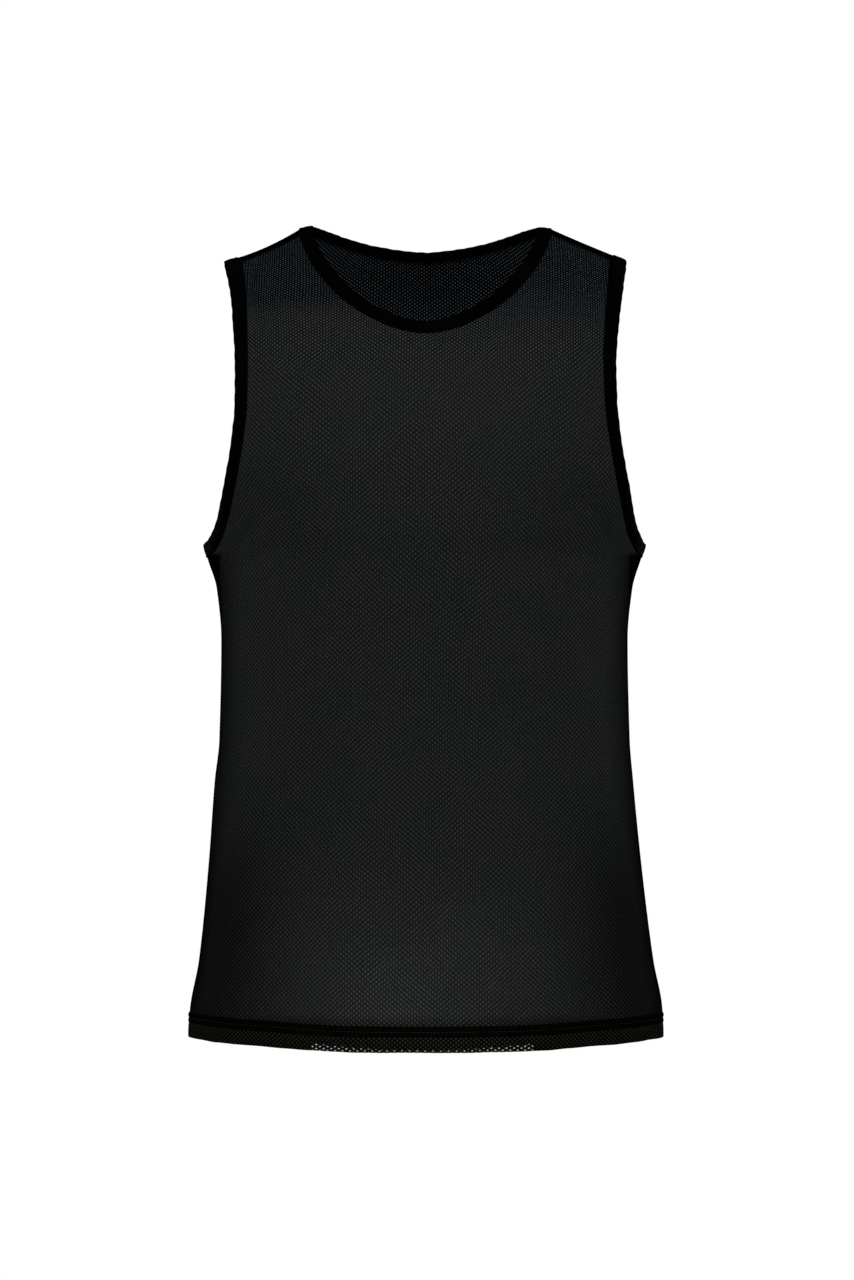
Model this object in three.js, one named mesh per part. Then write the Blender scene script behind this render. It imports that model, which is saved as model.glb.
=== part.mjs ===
// A sleeveless mesh training bib, filled out as if worn, with nobody in it.
// Millimetres, +Z up. The front faces -Y, and the wearer's right is at -X.
// The origin is midway between the two shoulders, at the height that carries the bib.

import * as THREE from "three";

// Cloth and trim
const NET_WALL = 1.6;
const BINDING_WALL = 2.6;
const BINDING_WIDTH = 11;
const HEM_WALL = 2.4;
const SEAM_GAP = 0.3;

// Heights
const HEM_BOTTOM = -671.7;
const HEM_HEIGHT = 21;
const HEM_TOP = HEM_BOTTOM + HEM_HEIGHT;
const UNDERARM = -264;

// Where the neck edge meets the shoulder seam, and how far the edge dips from there
const NECK_HALF = 106;
const NECK_TOP = 13;
const FRONT_NECK_DROP = 95;
const BACK_NECK_DROP = 20.8;

// The front neck edge is a superellipse with these powers, the back one a flatter power curve
const FRONT_NECK_POWERS = { across: 1.8, up: 0.65 };
const BACK_NECK_POWER = 1.6;

// Each shoulder seam falls from the neck, less steeply as it goes out. The wearer's right
// one sags a little more than the left one
const SHOULDER_HALF = 160;
const SHOULDER = {
  right: { fall: 0.62, ease: 0.003 },
  left: { fall: 0.45, ease: 0.0005 },
};

// Below the shoulder line the cloth rounds over from level to upright within this height
const SHOULDER_ROUND = 75;

// Inside the neck point the cloth's own slope takes over within the blend: it rises
// towards the neck, more so behind
const RISE_TO_NECK = { front: 0.3, back: 0.9 };
const NECK_BLEND = 30;

// The neck binding turns in over the shoulders by this angle, within this depth of the seam
const BINDING_LEAN = THREE.MathUtils.degToRad(20);
const LEAN_DEPTH = 35;

// Level sections of the body: reach of the wearer's right and left sides, depth at the
// centre front and centre back, and crease, from 0.5 for a round side to 1 for a folded one
const SECTIONS = [
  { z: -672, right: 200.0, left: 201.0, front: 112, back: 116, crease: 0.82 },
  { z: -650, right: 199.2, left: 200.6, front: 112, back: 115, crease: 0.82 },
  { z: -606, right: 191.4, left: 192.8, front: 113, back: 113, crease: 0.8 },
  { z: -522, right: 183.0, left: 182.3, front: 113, back: 106, crease: 0.74 },
  { z: -454, right: 178.0, left: 175.6, front: 111, back: 100, crease: 0.68 },
  { z: -420, right: 174.2, left: 172.8, front: 110, back: 98, crease: 0.66 },
  { z: -335, right: 172.5, left: 171.0, front: 111, back: 98, crease: 0.64 },
  { z: -291, right: 176.4, left: 175.0, front: 114, back: 103, crease: 0.72 },
  { z: -264, right: 184.7, left: 183.0, front: 116, back: 107, crease: 0.84 },
  { z: -240, right: 190.0, left: 190.0, front: 118, back: 110, crease: 0.78 },
  { z: -192, right: 200.0, left: 201.0, front: 118, back: 115, crease: 0.62 },
  { z: -137, right: 207.0, left: 207.0, front: 111, back: 117, crease: 0.6 },
  { z: -103, right: 210.0, left: 210.0, front: 101, back: 113, crease: 0.6 },
  { z: -74, right: 213.0, left: 213.0, front: 86, back: 106, crease: 0.59 },
  { z: -45, right: 215.0, left: 215.0, front: 69, back: 97, crease: 0.58 },
  { z: -5, right: 215.0, left: 215.0, front: 50, back: 80, crease: 0.56 },
  { z: 20, right: 215.0, left: 215.0, front: 38, back: 67, crease: 0.55 },
];

// Each half section is this power of the way out, raised to the crease
const SIDE_POWER = 2.2;

// Reach of the net's cut edge at each armhole, from the side seam up to the shoulder
const ARMHOLE_EDGE = [
  { z: -264, right: 184.7, left: 183.0 },
  { z: -261, right: 180.5, left: 180.0 },
  { z: -254, right: 174.5, left: 175.0 },
  { z: -242, right: 168.5, left: 169.5 },
  { z: -216, right: 161.0, left: 163.0 },
  { z: -192, right: 155.6, left: 157.6 },
  { z: -169, right: 151.6, left: 153.4 },
  { z: -137, right: 148.4, left: 149.6 },
  { z: -103, right: 148.2, left: 148.6 },
  { z: -74, right: 149.8, left: 150.6 },
  { z: -45, right: 152.6, left: 154.6 },
  { z: -12, right: 160.0, left: 160.0 },
];

// Soft folds: place across the body, the heights they fade between, how far their line
// leans per millimetre of height, their half width, and their depth, inwards if negative
const FOLDS = [
  { side: "front", x: -128, low: -680, high: -380, lean: 0.08, width: 26, depth: -5.0 },
  { side: "front", x: 139, low: -680, high: -420, lean: -0.05, width: 22, depth: -4.0 },
  { side: "front", x: -66, low: -680, high: -470, lean: 0.02, width: 30, depth: 2.6 },
  { side: "front", x: 74, low: -680, high: -500, lean: -0.03, width: 26, depth: 2.2 },
  { side: "front", x: -150, low: -420, high: -230, lean: 0.35, width: 17, depth: -3.0 },
  { side: "front", x: 152, low: -400, high: -240, lean: -0.3, width: 15, depth: -2.6 },
  { side: "back", x: -112, low: -680, high: -400, lean: 0.05, width: 25, depth: -5.0 },
  { side: "back", x: 96, low: -680, high: -360, lean: -0.06, width: 29, depth: -5.5 },
  { side: "back", x: -14, low: -680, high: -440, lean: 0.03, width: 32, depth: 4.0 },
  { side: "back", x: 8, low: -480, high: -180, lean: 0.0, width: 40, depth: -4.0 },
  { side: "back", x: -148, low: -410, high: -240, lean: 0.3, width: 16, depth: -2.8 },
  { side: "back", x: 146, low: -430, high: -235, lean: -0.34, width: 18, depth: -3.0 },
];

// A fold fades out over this share of its height
const FOLD_FADE = 0.6;

// The grid of each panel. Across, half of it is parted at the neck point
const NECK_COLUMNS = 8;
const STRAP_COLUMNS = 6;
const BODY_ROWS = 15;
const CHEST_ROWS = 17;
const SIDE_CROWDING = 0.85;
const HEM_ROWS = 2;
const LENGTH_SAMPLES = 240;
const TOP_PASSES = 40;
const TOLERANCE = 0.01;

// Slopes of the cloth are measured over this step, and this far inside its seams
const SLOPE_STEP = 0.4;
const INSIDE_SHOULDER = 1.2;
const INSIDE_SIDE = 0.995;

const FACING = { front: -1, back: 1 };

const NET = new THREE.MeshStandardMaterial({ color: 0x17181a, roughness: 0.72, metalness: 0 });
const TRIM = new THREE.MeshStandardMaterial({ color: 0x08080a, roughness: 0.85, metalness: 0 });
const HEM = new THREE.MeshStandardMaterial({ color: 0x0e0f10, roughness: 0.8, metalness: 0 });

// Reads one column of a table at a height, along a curve that never overshoots its rows.
function readTable(rows, column, z) {
  const last = rows.length - 1;
  if (z <= rows[0].z) return rows[0][column];
  if (z >= rows[last].z) return rows[last][column];
  const k = rows.findIndex((row) => row.z > z) - 1;
  const slope = (i) =>
    (rows[i + 1][column] - rows[i][column]) / (rows[i + 1].z - rows[i].z);
  const tangent = (i) => {
    if (i === 0) return slope(0);
    if (i === last) return slope(last - 1);
    const before = slope(i - 1);
    const after = slope(i);
    return before * after <= 0 ? 0 : (2 * before * after) / (before + after);
  };
  const step = rows[k + 1].z - rows[k].z;
  const t = (z - rows[k].z) / step;
  const s = 1 - t;
  return (
    rows[k][column] * s * s * (1 + 2 * t) +
    rows[k + 1][column] * t * t * (1 + 2 * s) +
    tangent(k) * step * s * s * t -
    tangent(k + 1) * step * t * t * s
  );
}

const smoothStep = (low, high, value) => THREE.MathUtils.smoothstep(value, low, high);

const armSide = (x) => (x < 0 ? "right" : "left");

function shoulderHeight(x) {
  const { fall, ease } = SHOULDER[armSide(x)];
  const out = Math.abs(x) - NECK_HALF;
  return NECK_TOP - fall * out + ease * out * out;
}

// The height of the neck edge at x: a deep round scoop in front, a shallow one behind.
function neckHeight(side, x) {
  const u = Math.min(1, Math.abs(x) / NECK_HALF);
  const { across, up } = FRONT_NECK_POWERS;
  return side === "front"
    ? NECK_TOP - FRONT_NECK_DROP * Math.pow(1 - Math.pow(u, across), up)
    : NECK_TOP - BACK_NECK_DROP * (1 - Math.pow(u, BACK_NECK_POWER));
}

// The height at which the cloth would lie flat over the shoulder or the base of the neck.
function roofHeight(side, x) {
  const inside = NECK_HALF - Math.abs(x);
  if (inside <= 0) return shoulderHeight(x);
  const { fall } = SHOULDER[armSide(x)];
  const turned = (RISE_TO_NECK[side] - fall) * (inside / (inside + NECK_BLEND));
  return NECK_TOP + (fall + turned) * inside;
}

function foldDepth(side, x, z) {
  let sum = 0;
  for (const fold of FOLDS) {
    if (fold.side !== side) continue;
    const middle = fold.x + fold.lean * (z - fold.low);
    const across = Math.exp(-(((x - middle) / fold.width) ** 2));
    const fade = (fold.high - fold.low) * FOLD_FADE;
    const along = 1 - smoothStep(fold.high - fade, fold.high, z);
    const foot = fold.low < HEM_BOTTOM ? 1 : smoothStep(fold.low, fold.low + fade, z);
    sum += fold.depth * across * along * foot;
  }
  return sum;
}

// How far the middle of the cloth stands from the plane of the side seams.
function clothDepth(side, x, z) {
  const half = readTable(SECTIONS, armSide(x), z);
  const crease = readTable(SECTIONS, "crease", z);
  const centre = readTable(SECTIONS, side, z);
  const u = Math.min(1, Math.abs(x) / half);
  const inside = 1 - Math.pow(u, SIDE_POWER);
  const across = Math.pow(inside, crease);
  const below = THREE.MathUtils.clamp((roofHeight(side, x) - z) / SHOULDER_ROUND, 0, 1);
  const over = Math.sqrt(1 - (1 - below) ** 2);
  const depth = (centre * across + foldDepth(side, x, z) * Math.min(1, 3 * inside)) * over;
  return Math.max(depth, 0);
}

// The outward normal of the cloth, measured just inside any edge it shares with a seam.
function clothNormal(side, x, z) {
  const reach = readTable(SECTIONS, armSide(x), z) * INSIDE_SIDE;
  const px = THREE.MathUtils.clamp(x, -reach, reach);
  const pz = Math.min(z, roofHeight(side, x) - INSIDE_SHOULDER);
  const h = SLOPE_STEP;
  const acrossSlope = (clothDepth(side, px + h, pz) - clothDepth(side, px - h, pz)) / (2 * h);
  const upSlope = (clothDepth(side, px, pz + h) - clothDepth(side, px, pz - h)) / (2 * h);
  return new THREE.Vector3(-acrossSlope, FACING[side], -upSlope).normalize();
}

// How far out the net reaches at a height: to the side seam, or to the armhole edge.
function netReach(share, z) {
  return readTable(z <= UNDERARM ? SECTIONS : ARMHOLE_EDGE, armSide(share), z);
}

// Shares of the half width at which the grid has a column, crowded towards the side.
function columnShares() {
  const crowd = (u) =>
    Math.sin((u * SIDE_CROWDING * Math.PI) / 2) / Math.sin((SIDE_CROWDING * Math.PI) / 2);
  const uncrowd = (s) =>
    Math.asin(s * Math.sin((SIDE_CROWDING * Math.PI) / 2)) / ((SIDE_CROWDING * Math.PI) / 2);
  const neck = uncrowd(NECK_HALF / SHOULDER_HALF);
  const half = [];
  for (let i = 0; i <= NECK_COLUMNS; i++) half.push(crowd((neck * i) / NECK_COLUMNS));
  for (let i = 1; i <= STRAP_COLUMNS; i++) {
    half.push(crowd(neck + ((1 - neck) * i) / STRAP_COLUMNS));
  }
  return [...half.slice(1).reverse().map((s) => -s), ...half];
}

const overStrap = (share) => Math.abs(share) * SHOULDER_HALF >= NECK_HALF - TOLERANCE;

// The top of a column: on the shoulder seam, or on the neck edge. The column leans with the
// armhole, so its top is found by going half way to the edge again and again.
function columnTop(side, share) {
  const edge = (x) => (overStrap(share) ? shoulderHeight(x) : neckHeight(side, x));
  let z = edge(share * SHOULDER_HALF);
  for (let pass = 0; pass < TOP_PASSES; pass++) {
    z = (z + edge(share * netReach(share, z))) / 2;
  }
  return z;
}

// One point of the cloth's middle, held clear of the other panel's side of the seam.
function clothPoint(side, share, z) {
  const x = share * netReach(share, z);
  const y = FACING[side] * Math.max(clothDepth(side, x, z), SEAM_GAP / 2);
  return { side, share, point: new THREE.Vector3(x, y, z), normal: clothNormal(side, x, z) };
}

// Heights along a column above the underarm, at equal steps of length.
function evenHeights(side, share, top, rows) {
  const heights = [];
  const lengths = [];
  let length = 0;
  let before = null;
  for (let i = 0; i <= LENGTH_SAMPLES; i++) {
    const turn = ((i / LENGTH_SAMPLES) * Math.PI) / 2;
    const z = UNDERARM + (top - UNDERARM) * Math.sin(turn);
    const { point } = clothPoint(side, share, z);
    if (before) length += point.distanceTo(before);
    before = point;
    heights.push(z);
    lengths.push(length);
  }
  const found = [];
  for (let row = 1; row <= rows; row++) {
    const want = (length * row) / rows;
    const past = lengths.findIndex((l) => l > want);
    const k = past < 0 ? LENGTH_SAMPLES : past;
    const t = (want - lengths[k - 1]) / (lengths[k] - lengths[k - 1]);
    found.push(heights[k - 1] + t * (heights[k] - heights[k - 1]));
  }
  return found;
}

// All points of a panel's middle surface, row by row from the hem to the top.
function panelGrid(side) {
  const columns = columnShares().map((share) => {
    const top = columnTop(side, share);
    const heights = [];
    for (let row = 0; row <= BODY_ROWS; row++) {
      heights.push(HEM_TOP + SEAM_GAP + ((UNDERARM - HEM_TOP - SEAM_GAP) * row) / BODY_ROWS);
    }
    heights.push(...evenHeights(side, share, top, CHEST_ROWS));
    return heights.map((z) => clothPoint(side, share, z));
  });
  return columns[0].map((_, row) => columns.map((column) => column[row]));
}

// Moves a point of the grid off the middle of the cloth. At a side seam it then slides
// along the cloth to the plane that parts the two panels, and by no more than two walls.
function offCloth(grid, row, column, distance) {
  const cell = grid[row][column];
  const moved = cell.point.clone().addScaledVector(cell.normal, distance);
  const lastColumn = grid[0].length - 1;
  const onSide = (column === 0 || column === lastColumn) && row <= BODY_ROWS;
  const onShoulder = row === grid.length - 1 && overStrap(cell.share);
  const plane = (FACING[cell.side] * SEAM_GAP) / 2;
  if (onSide) {
    const next = grid[row][column === 0 ? 1 : lastColumn - 1].point;
    const into = next.clone().sub(cell.point);
    const along = into.addScaledVector(cell.normal, -into.dot(cell.normal)).normalize();
    const slide = (plane - moved.y) / along.y;
    moved.addScaledVector(along, THREE.MathUtils.clamp(slide, -2 * NET_WALL, 2 * NET_WALL));
  }
  if (onSide || onShoulder) moved.y = plane;
  return moved;
}

// A closed body from indexed points, turned so that its faces point out.
function solidGeometry(points, faces) {
  const volume = faces.reduce((sum, [a, b, c]) => {
    const cross = points[b].clone().cross(points[c]);
    return sum + points[a].dot(cross) / 6;
  }, 0);
  const index = faces.flatMap(([a, b, c]) => (volume < 0 ? [a, c, b] : [a, b, c]));
  const geometry = new THREE.BufferGeometry();
  const positions = points.flatMap((p) => [p.x, p.y, p.z]);
  geometry.setAttribute("position", new THREE.Float32BufferAttribute(positions, 3));
  geometry.setIndex(index);
  geometry.computeVertexNormals();
  return geometry;
}

// A wall between an outer and an inner grid of the same size, closed by four rims.
function wallGeometry(outer, inner) {
  const rows = outer.length;
  const columns = outer[0].length;
  const points = [...outer.flat(), ...inner.flat()];
  const out = (row, column) => row * columns + column;
  const into = (row, column) => rows * columns + row * columns + column;
  const faces = [];
  const quad = (a, b, c, d) => faces.push([a, b, c], [a, c, d]);
  for (let r = 0; r < rows - 1; r++) {
    for (let c = 0; c < columns - 1; c++) {
      quad(out(r, c), out(r, c + 1), out(r + 1, c + 1), out(r + 1, c));
      quad(into(r, c), into(r + 1, c), into(r + 1, c + 1), into(r, c + 1));
    }
  }
  for (let c = 0; c < columns - 1; c++) {
    quad(out(0, c), into(0, c), into(0, c + 1), out(0, c + 1));
    quad(out(rows - 1, c + 1), into(rows - 1, c + 1), into(rows - 1, c), out(rows - 1, c));
  }
  const end = columns - 1;
  for (let r = 0; r < rows - 1; r++) {
    quad(out(r + 1, 0), into(r + 1, 0), into(r, 0), out(r, 0));
    quad(out(r, end), into(r, end), into(r + 1, end), out(r + 1, end));
  }
  return solidGeometry(points, faces);
}

// A closed ring: one outline carried through every station of a loop.
function ringGeometry(stations) {
  const around = stations[0].length;
  const points = stations.flat();
  const faces = [];
  stations.forEach((_, s) => {
    const next = ((s + 1) % stations.length) * around;
    for (let p = 0; p < around; p++) {
      const q = (p + 1) % around;
      const [a, b] = [s * around + p, s * around + q];
      const [c, d] = [next + q, next + p];
      faces.push([a, b, c], [a, c, d]);
    }
  });
  return solidGeometry(points, faces);
}

function netPanel(side, grid) {
  const layer = (distance) =>
    grid.map((row, r) => row.map((_, c) => offCloth(grid, r, c, distance)));
  const mesh = new THREE.Mesh(wallGeometry(layer(NET_WALL / 2), layer(-NET_WALL / 2)), NET);
  mesh.name = `${side}_panel`;
  return mesh;
}

// The place between two cells that face each other across a seam.
function seamCell(a, b) {
  return {
    point: a.point.clone().lerp(b.point, 0.5),
    normal: a.normal.clone().add(b.normal).normalize(),
  };
}

// The loop of cells round an armhole, down the front and up the back.
function armholeLoop(front, back, column) {
  const top = front.length - 1;
  const loop = [seamCell(front[top][column], back[top][column])];
  for (let row = top - 1; row > BODY_ROWS; row--) loop.push(front[row][column]);
  loop.push(seamCell(front[BODY_ROWS][column], back[BODY_ROWS][column]));
  for (let row = BODY_ROWS + 1; row < top; row++) loop.push(back[row][column]);
  return loop;
}

// The loop of cells round the neck, across the front and back behind.
function neckLoop(front, back) {
  const top = front.length - 1;
  const first = STRAP_COLUMNS;
  const last = STRAP_COLUMNS + 2 * NECK_COLUMNS;
  const loop = [seamCell(front[top][first], back[top][first])];
  for (let column = first + 1; column < last; column++) loop.push(front[top][column]);
  loop.push(seamCell(front[top][last], back[top][last]));
  for (let column = last - 1; column > first; column--) loop.push(back[top][column]);
  return loop;
}

// The outline of a binding: how far out of the net's edge, and how far off its middle.
// Its free edge is rounded.
function bindingOutline() {
  const half = BINDING_WALL / 2;
  const shoulder = BINDING_WIDTH - half * (1 - Math.SQRT1_2);
  return [
    [SEAM_GAP, half],
    [BINDING_WIDTH - half, half],
    [shoulder, half * Math.SQRT1_2],
    [BINDING_WIDTH, 0],
    [shoulder, -half * Math.SQRT1_2],
    [BINDING_WIDTH - half, -half],
    [SEAM_GAP, -half],
  ];
}

// A strip of doubled cloth along a loop, reaching from the net's edge into the opening.
// lean turns a station's strip inwards, by an angle.
function bindingRing(name, loop, lean) {
  const count = loop.length;
  const centre = loop
    .reduce((sum, cell) => sum.add(cell.point), new THREE.Vector3())
    .divideScalar(count);
  const outline = bindingOutline();
  const normals = loop.map((cell, k) => {
    const before = loop[(k + count - 1) % count].normal;
    const after = loop[(k + 1) % count].normal;
    return cell.normal.clone().multiplyScalar(2).add(before).add(after).normalize();
  });
  const stations = loop.map((cell, k) => {
    const before = loop[(k + count - 1) % count].point;
    const after = loop[(k + 1) % count].point;
    const along = after.clone().sub(before).normalize();
    const normal = normals[k].clone().addScaledVector(along, -normals[k].dot(along)).normalize();
    const open = along.clone().cross(normal);
    if (open.dot(centre.clone().sub(cell.point)) < 0) open.negate();
    const angle = lean(cell.point);
    const [cos, sin] = [Math.cos(angle), Math.sin(angle)];
    const reach = open.clone().multiplyScalar(cos).addScaledVector(normal, -sin);
    const face = normal.clone().multiplyScalar(cos).addScaledVector(open, sin);
    const root = cell.point
      .clone()
      .addScaledVector(open, SEAM_GAP + (BINDING_WALL / 2) * sin);
    return outline.map(([out, up]) =>
      root.clone().addScaledVector(reach, out - SEAM_GAP).addScaledVector(face, up),
    );
  });
  const mesh = new THREE.Mesh(ringGeometry(stations), TRIM);
  mesh.name = name;
  return mesh;
}

// The turned-up hem: one tube of doubled cloth round the bottom.
function hemBand() {
  const shares = columnShares();
  const level = (z) => {
    const front = shares.map((share) => clothPoint("front", share, z));
    const back = shares.map((share) => clothPoint("back", share, z)).reverse();
    const last = front.length - 1;
    return [
      ...front.slice(1, last),
      seamCell(front[last], back[0]),
      ...back.slice(1, last),
      seamCell(back[last], front[0]),
    ];
  };
  const outline = [];
  for (let row = 0; row <= HEM_ROWS; row++) {
    outline.push({ z: HEM_BOTTOM + (HEM_HEIGHT * row) / HEM_ROWS, out: HEM_WALL / 2 });
  }
  for (let row = HEM_ROWS; row >= 0; row--) {
    outline.push({ z: HEM_BOTTOM + (HEM_HEIGHT * row) / HEM_ROWS, out: -HEM_WALL / 2 });
  }
  const levels = outline.map(({ z, out }) =>
    level(z).map((cell) => cell.point.clone().addScaledVector(cell.normal, out).setZ(z)),
  );
  const stations = levels[0].map((_, k) => levels.map((points) => points[k]));
  const mesh = new THREE.Mesh(ringGeometry(stations), HEM);
  mesh.name = "hem_band";
  return mesh;
}

const front = panelGrid("front");
const back = panelGrid("back");
const lastColumn = front[0].length - 1;
const noLean = () => 0;
const leanAtShoulder = (point) => BINDING_LEAN * Math.exp(-((point.y / LEAN_DEPTH) ** 2));

const bib = new THREE.Group();
bib.name = "mesh_training_bib";
bib.add(
  netPanel("front", front),
  netPanel("back", back),
  bindingRing("neck_binding", neckLoop(front, back), leanAtShoulder),
  bindingRing("right_armhole_binding", armholeLoop(front, back, 0), noLean),
  bindingRing("left_armhole_binding", armholeLoop(front, back, lastColumn), noLean),
  hemBand(),
);

export default bib;
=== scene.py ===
# %% [markdown]
# # A mesh training bib
# The bib is a sleeveless vest of black open net, with a tape folded over each edge and a
# turned hem, filled out as if worn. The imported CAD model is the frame: six plain solids
# that give every outline. This script dresses them. The net becomes a thin cloth with a
# pattern of holes, the tapes become folded bindings, and seams and stitches are added.

import bpy
import numpy as np
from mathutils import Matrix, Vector


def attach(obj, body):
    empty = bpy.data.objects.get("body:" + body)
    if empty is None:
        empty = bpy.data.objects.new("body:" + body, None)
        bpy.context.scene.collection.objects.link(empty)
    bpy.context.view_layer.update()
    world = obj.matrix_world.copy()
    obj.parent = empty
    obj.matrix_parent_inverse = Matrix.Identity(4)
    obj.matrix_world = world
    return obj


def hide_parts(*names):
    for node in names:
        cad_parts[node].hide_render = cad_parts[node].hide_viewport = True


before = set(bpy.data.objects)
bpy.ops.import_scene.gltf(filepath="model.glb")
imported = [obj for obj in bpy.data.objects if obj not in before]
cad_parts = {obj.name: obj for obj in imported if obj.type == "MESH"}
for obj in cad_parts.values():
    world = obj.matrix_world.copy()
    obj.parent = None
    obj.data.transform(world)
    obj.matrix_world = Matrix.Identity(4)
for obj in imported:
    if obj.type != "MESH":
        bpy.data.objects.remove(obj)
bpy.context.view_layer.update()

# %% [markdown]
# ## Camera
# A product photo of a garment is taken level with its middle, from far enough away that the
# hem hardly curves. The camera stands 2.9 m in front. A long lens, not a shift, frames it.

# %% Camera
CAMERA_PLACE = (0.0014, -2.9, -0.335)
CAMERA_LENS = 96.2

camera_data = bpy.data.cameras.new("camera")
camera_data.lens = CAMERA_LENS
camera_data.sensor_width = 36.0
camera = bpy.data.objects.new("camera", camera_data)
camera.location = CAMERA_PLACE
camera.rotation_euler = (np.pi / 2, 0, 0)
bpy.context.collection.objects.link(camera)
bpy.context.scene.camera = camera
print("camera at", CAMERA_PLACE, "with a lens of", CAMERA_LENS, "mm")

# %% [markdown]
# ## The form of the bib
# A sculpted form would not hold the cloth to the frame. Here the cloth is one formula: its
# depth from the plane of the side seams, at each place across and each height. The level
# sections that the frame was made from say how wide and deep the body is, and a smooth
# curve runs through them. All sizes are millimetres until a mesh is made.

# %% Sizes of the form
MM = 0.001

HEM_BOTTOM, HEM_TOP, UNDERARM = -671.7, -650.7, -264.0
NECK_HALF, NECK_TOP = 106.0, 13.0
NECK_DROP = {"front": 95.0, "back": 20.8}
FRONT_NECK_ACROSS, FRONT_NECK_UP, BACK_NECK_POWER = 1.8, 0.65, 1.6
SHOULDER_HALF, SHOULDER_ROUND = 160.0, 75.0
SHOULDER_FALL = {"right": 0.62, "left": 0.45}
SHOULDER_EASE = {"right": 0.003, "left": 0.0005}
RISE_TO_NECK, NECK_BLEND = {"front": 0.3, "back": 0.9}, 30.0
SIDE_POWER = 2.2
SEAM_GAP = 0.3
FACING = {"front": -1.0, "back": 1.0}

# Height, reach of the wearer's right and left sides, depth at the centre front and the
# centre back, and crease: 0.5 for a round side, 1 for a folded one
SECTIONS = np.array([
    (-672, 200, 201, 112, 116, 0.82),
    (-650, 199.2, 200.6, 112, 115, 0.82),
    (-606, 191.4, 192.8, 113, 113, 0.80),
    (-522, 183, 182.3, 113, 106, 0.74),
    (-454, 178, 175.6, 111, 100, 0.68),
    (-420, 174.2, 172.8, 110, 98, 0.66),
    (-335, 172.5, 171, 111, 98, 0.64),
    (-291, 176.4, 175, 114, 103, 0.72),
    (-264, 184.7, 183, 116, 107, 0.84),
    (-240, 190, 190, 118, 110, 0.78),
    (-192, 200, 201, 118, 115, 0.62),
    (-137, 207, 207, 111, 117, 0.60),
    (-103, 210, 210, 101, 113, 0.60),
    (-74, 213, 213, 86, 106, 0.59),
    (-45, 215, 215, 69, 97, 0.58),
    (-5, 215, 215, 50, 80, 0.56),
    (20, 215, 215, 38, 67, 0.55),
])
SECTION_COLUMNS = {"right": 1, "left": 2, "front": 3, "back": 4, "crease": 5}

# Height, then the reach of the net's cut edge at the right and the left armhole
ARMHOLE_EDGE = np.array([
    (-264, 184.7, 183), (-261, 180.5, 180), (-254, 174.5, 175), (-242, 168.5, 169.5),
    (-216, 161, 163), (-192, 155.6, 157.6), (-169, 151.6, 153.4), (-137, 148.4, 149.6),
    (-103, 148.2, 148.6), (-74, 149.8, 150.6), (-45, 152.6, 154.6), (-12, 160, 160),
])

# %% Read a size at any height


def read_curve(rows, column, z):
    """A smooth curve through one column of a table, which never overshoots its rows: a cubic
    in each span, whose slope at a row is the harmonic mean of the slopes beside it."""
    heights, values = rows[:, 0], rows[:, column]
    spans = np.diff(heights)
    slopes = np.diff(values) / spans
    before, after = slopes[:-1], slopes[1:]
    agree = before * after > 0
    total = np.where(agree, before + after, 1.0)
    inner = np.where(agree, 2 * before * after / total, 0.0)
    tangents = np.concatenate([slopes[:1], inner, slopes[-1:]])
    z = np.clip(z, heights[0], heights[-1])
    k = np.clip(np.searchsorted(heights, z, side="right") - 1, 0, len(spans) - 1)
    t = (z - heights[k]) / spans[k]
    s = 1 - t
    return (
        values[k] * s * s * (1 + 2 * t)
        + values[k + 1] * t * t * (1 + 2 * s)
        + tangents[k] * spans[k] * s * s * t
        - tangents[k + 1] * spans[k] * t * t * s
    )


def smooth_step(low, high, value):
    """0 below low, 1 above high, and 3t^2 - 2t^3 between them."""
    t = np.clip((value - low) / (high - low), 0, 1)
    return t * t * (3 - 2 * t)


def by_side(x, right, left):
    """The wearer's right side is at negative x."""
    return np.where(x < 0, right, left)


def section(name, z):
    """One size of the level sections, at a height."""
    return read_curve(SECTIONS, SECTION_COLUMNS[name], z)


def body_half(x, z):
    """Half the width of the body at a height, on the side where x is."""
    return by_side(x, section("right", z), section("left", z))


def net_reach(share, z):
    """How far out the net goes: to the side seam, or above the underarm to the armhole."""
    edge = by_side(share, read_curve(ARMHOLE_EDGE, 1, z), read_curve(ARMHOLE_EDGE, 2, z))
    return np.where(z <= UNDERARM, body_half(share, z), edge)


print("half width at the waist:", round(float(body_half(-1.0, -335.0)), 1), "mm")

# %% Shoulder and neck lines


def shoulder_height(x):
    """The shoulder seam falls from the neck point as a shallow parabola."""
    out = np.abs(x) - NECK_HALF
    fall, ease = by_side(x, **SHOULDER_FALL), by_side(x, **SHOULDER_EASE)
    return NECK_TOP - fall * out + ease * out * out


def neck_height(side, x):
    """The neck edge: a superellipse in front, a flatter power curve behind."""
    u = np.minimum(1, np.abs(x) / NECK_HALF)
    if side == "front":
        dip = (1 - u**FRONT_NECK_ACROSS) ** FRONT_NECK_UP
    else:
        dip = 1 - u**BACK_NECK_POWER
    return NECK_TOP - NECK_DROP[side] * dip


def roof_height(side, x):
    """Where the cloth would lie level: on the shoulder line, and inside the neck point on a
    slope that turns from the shoulder's fall to the cloth's own rise towards the neck."""
    inside = NECK_HALF - np.abs(x)
    fall = by_side(x, **SHOULDER_FALL)
    blend = np.maximum(inside, 0) / (np.maximum(inside, 0) + NECK_BLEND)
    slope = fall + (RISE_TO_NECK[side] - fall) * blend
    return np.where(inside <= 0, shoulder_height(x), NECK_TOP + slope * inside)


print("front neck is", round(float(neck_height("front", 0.0)), 1), "mm high at its centre")

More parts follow.
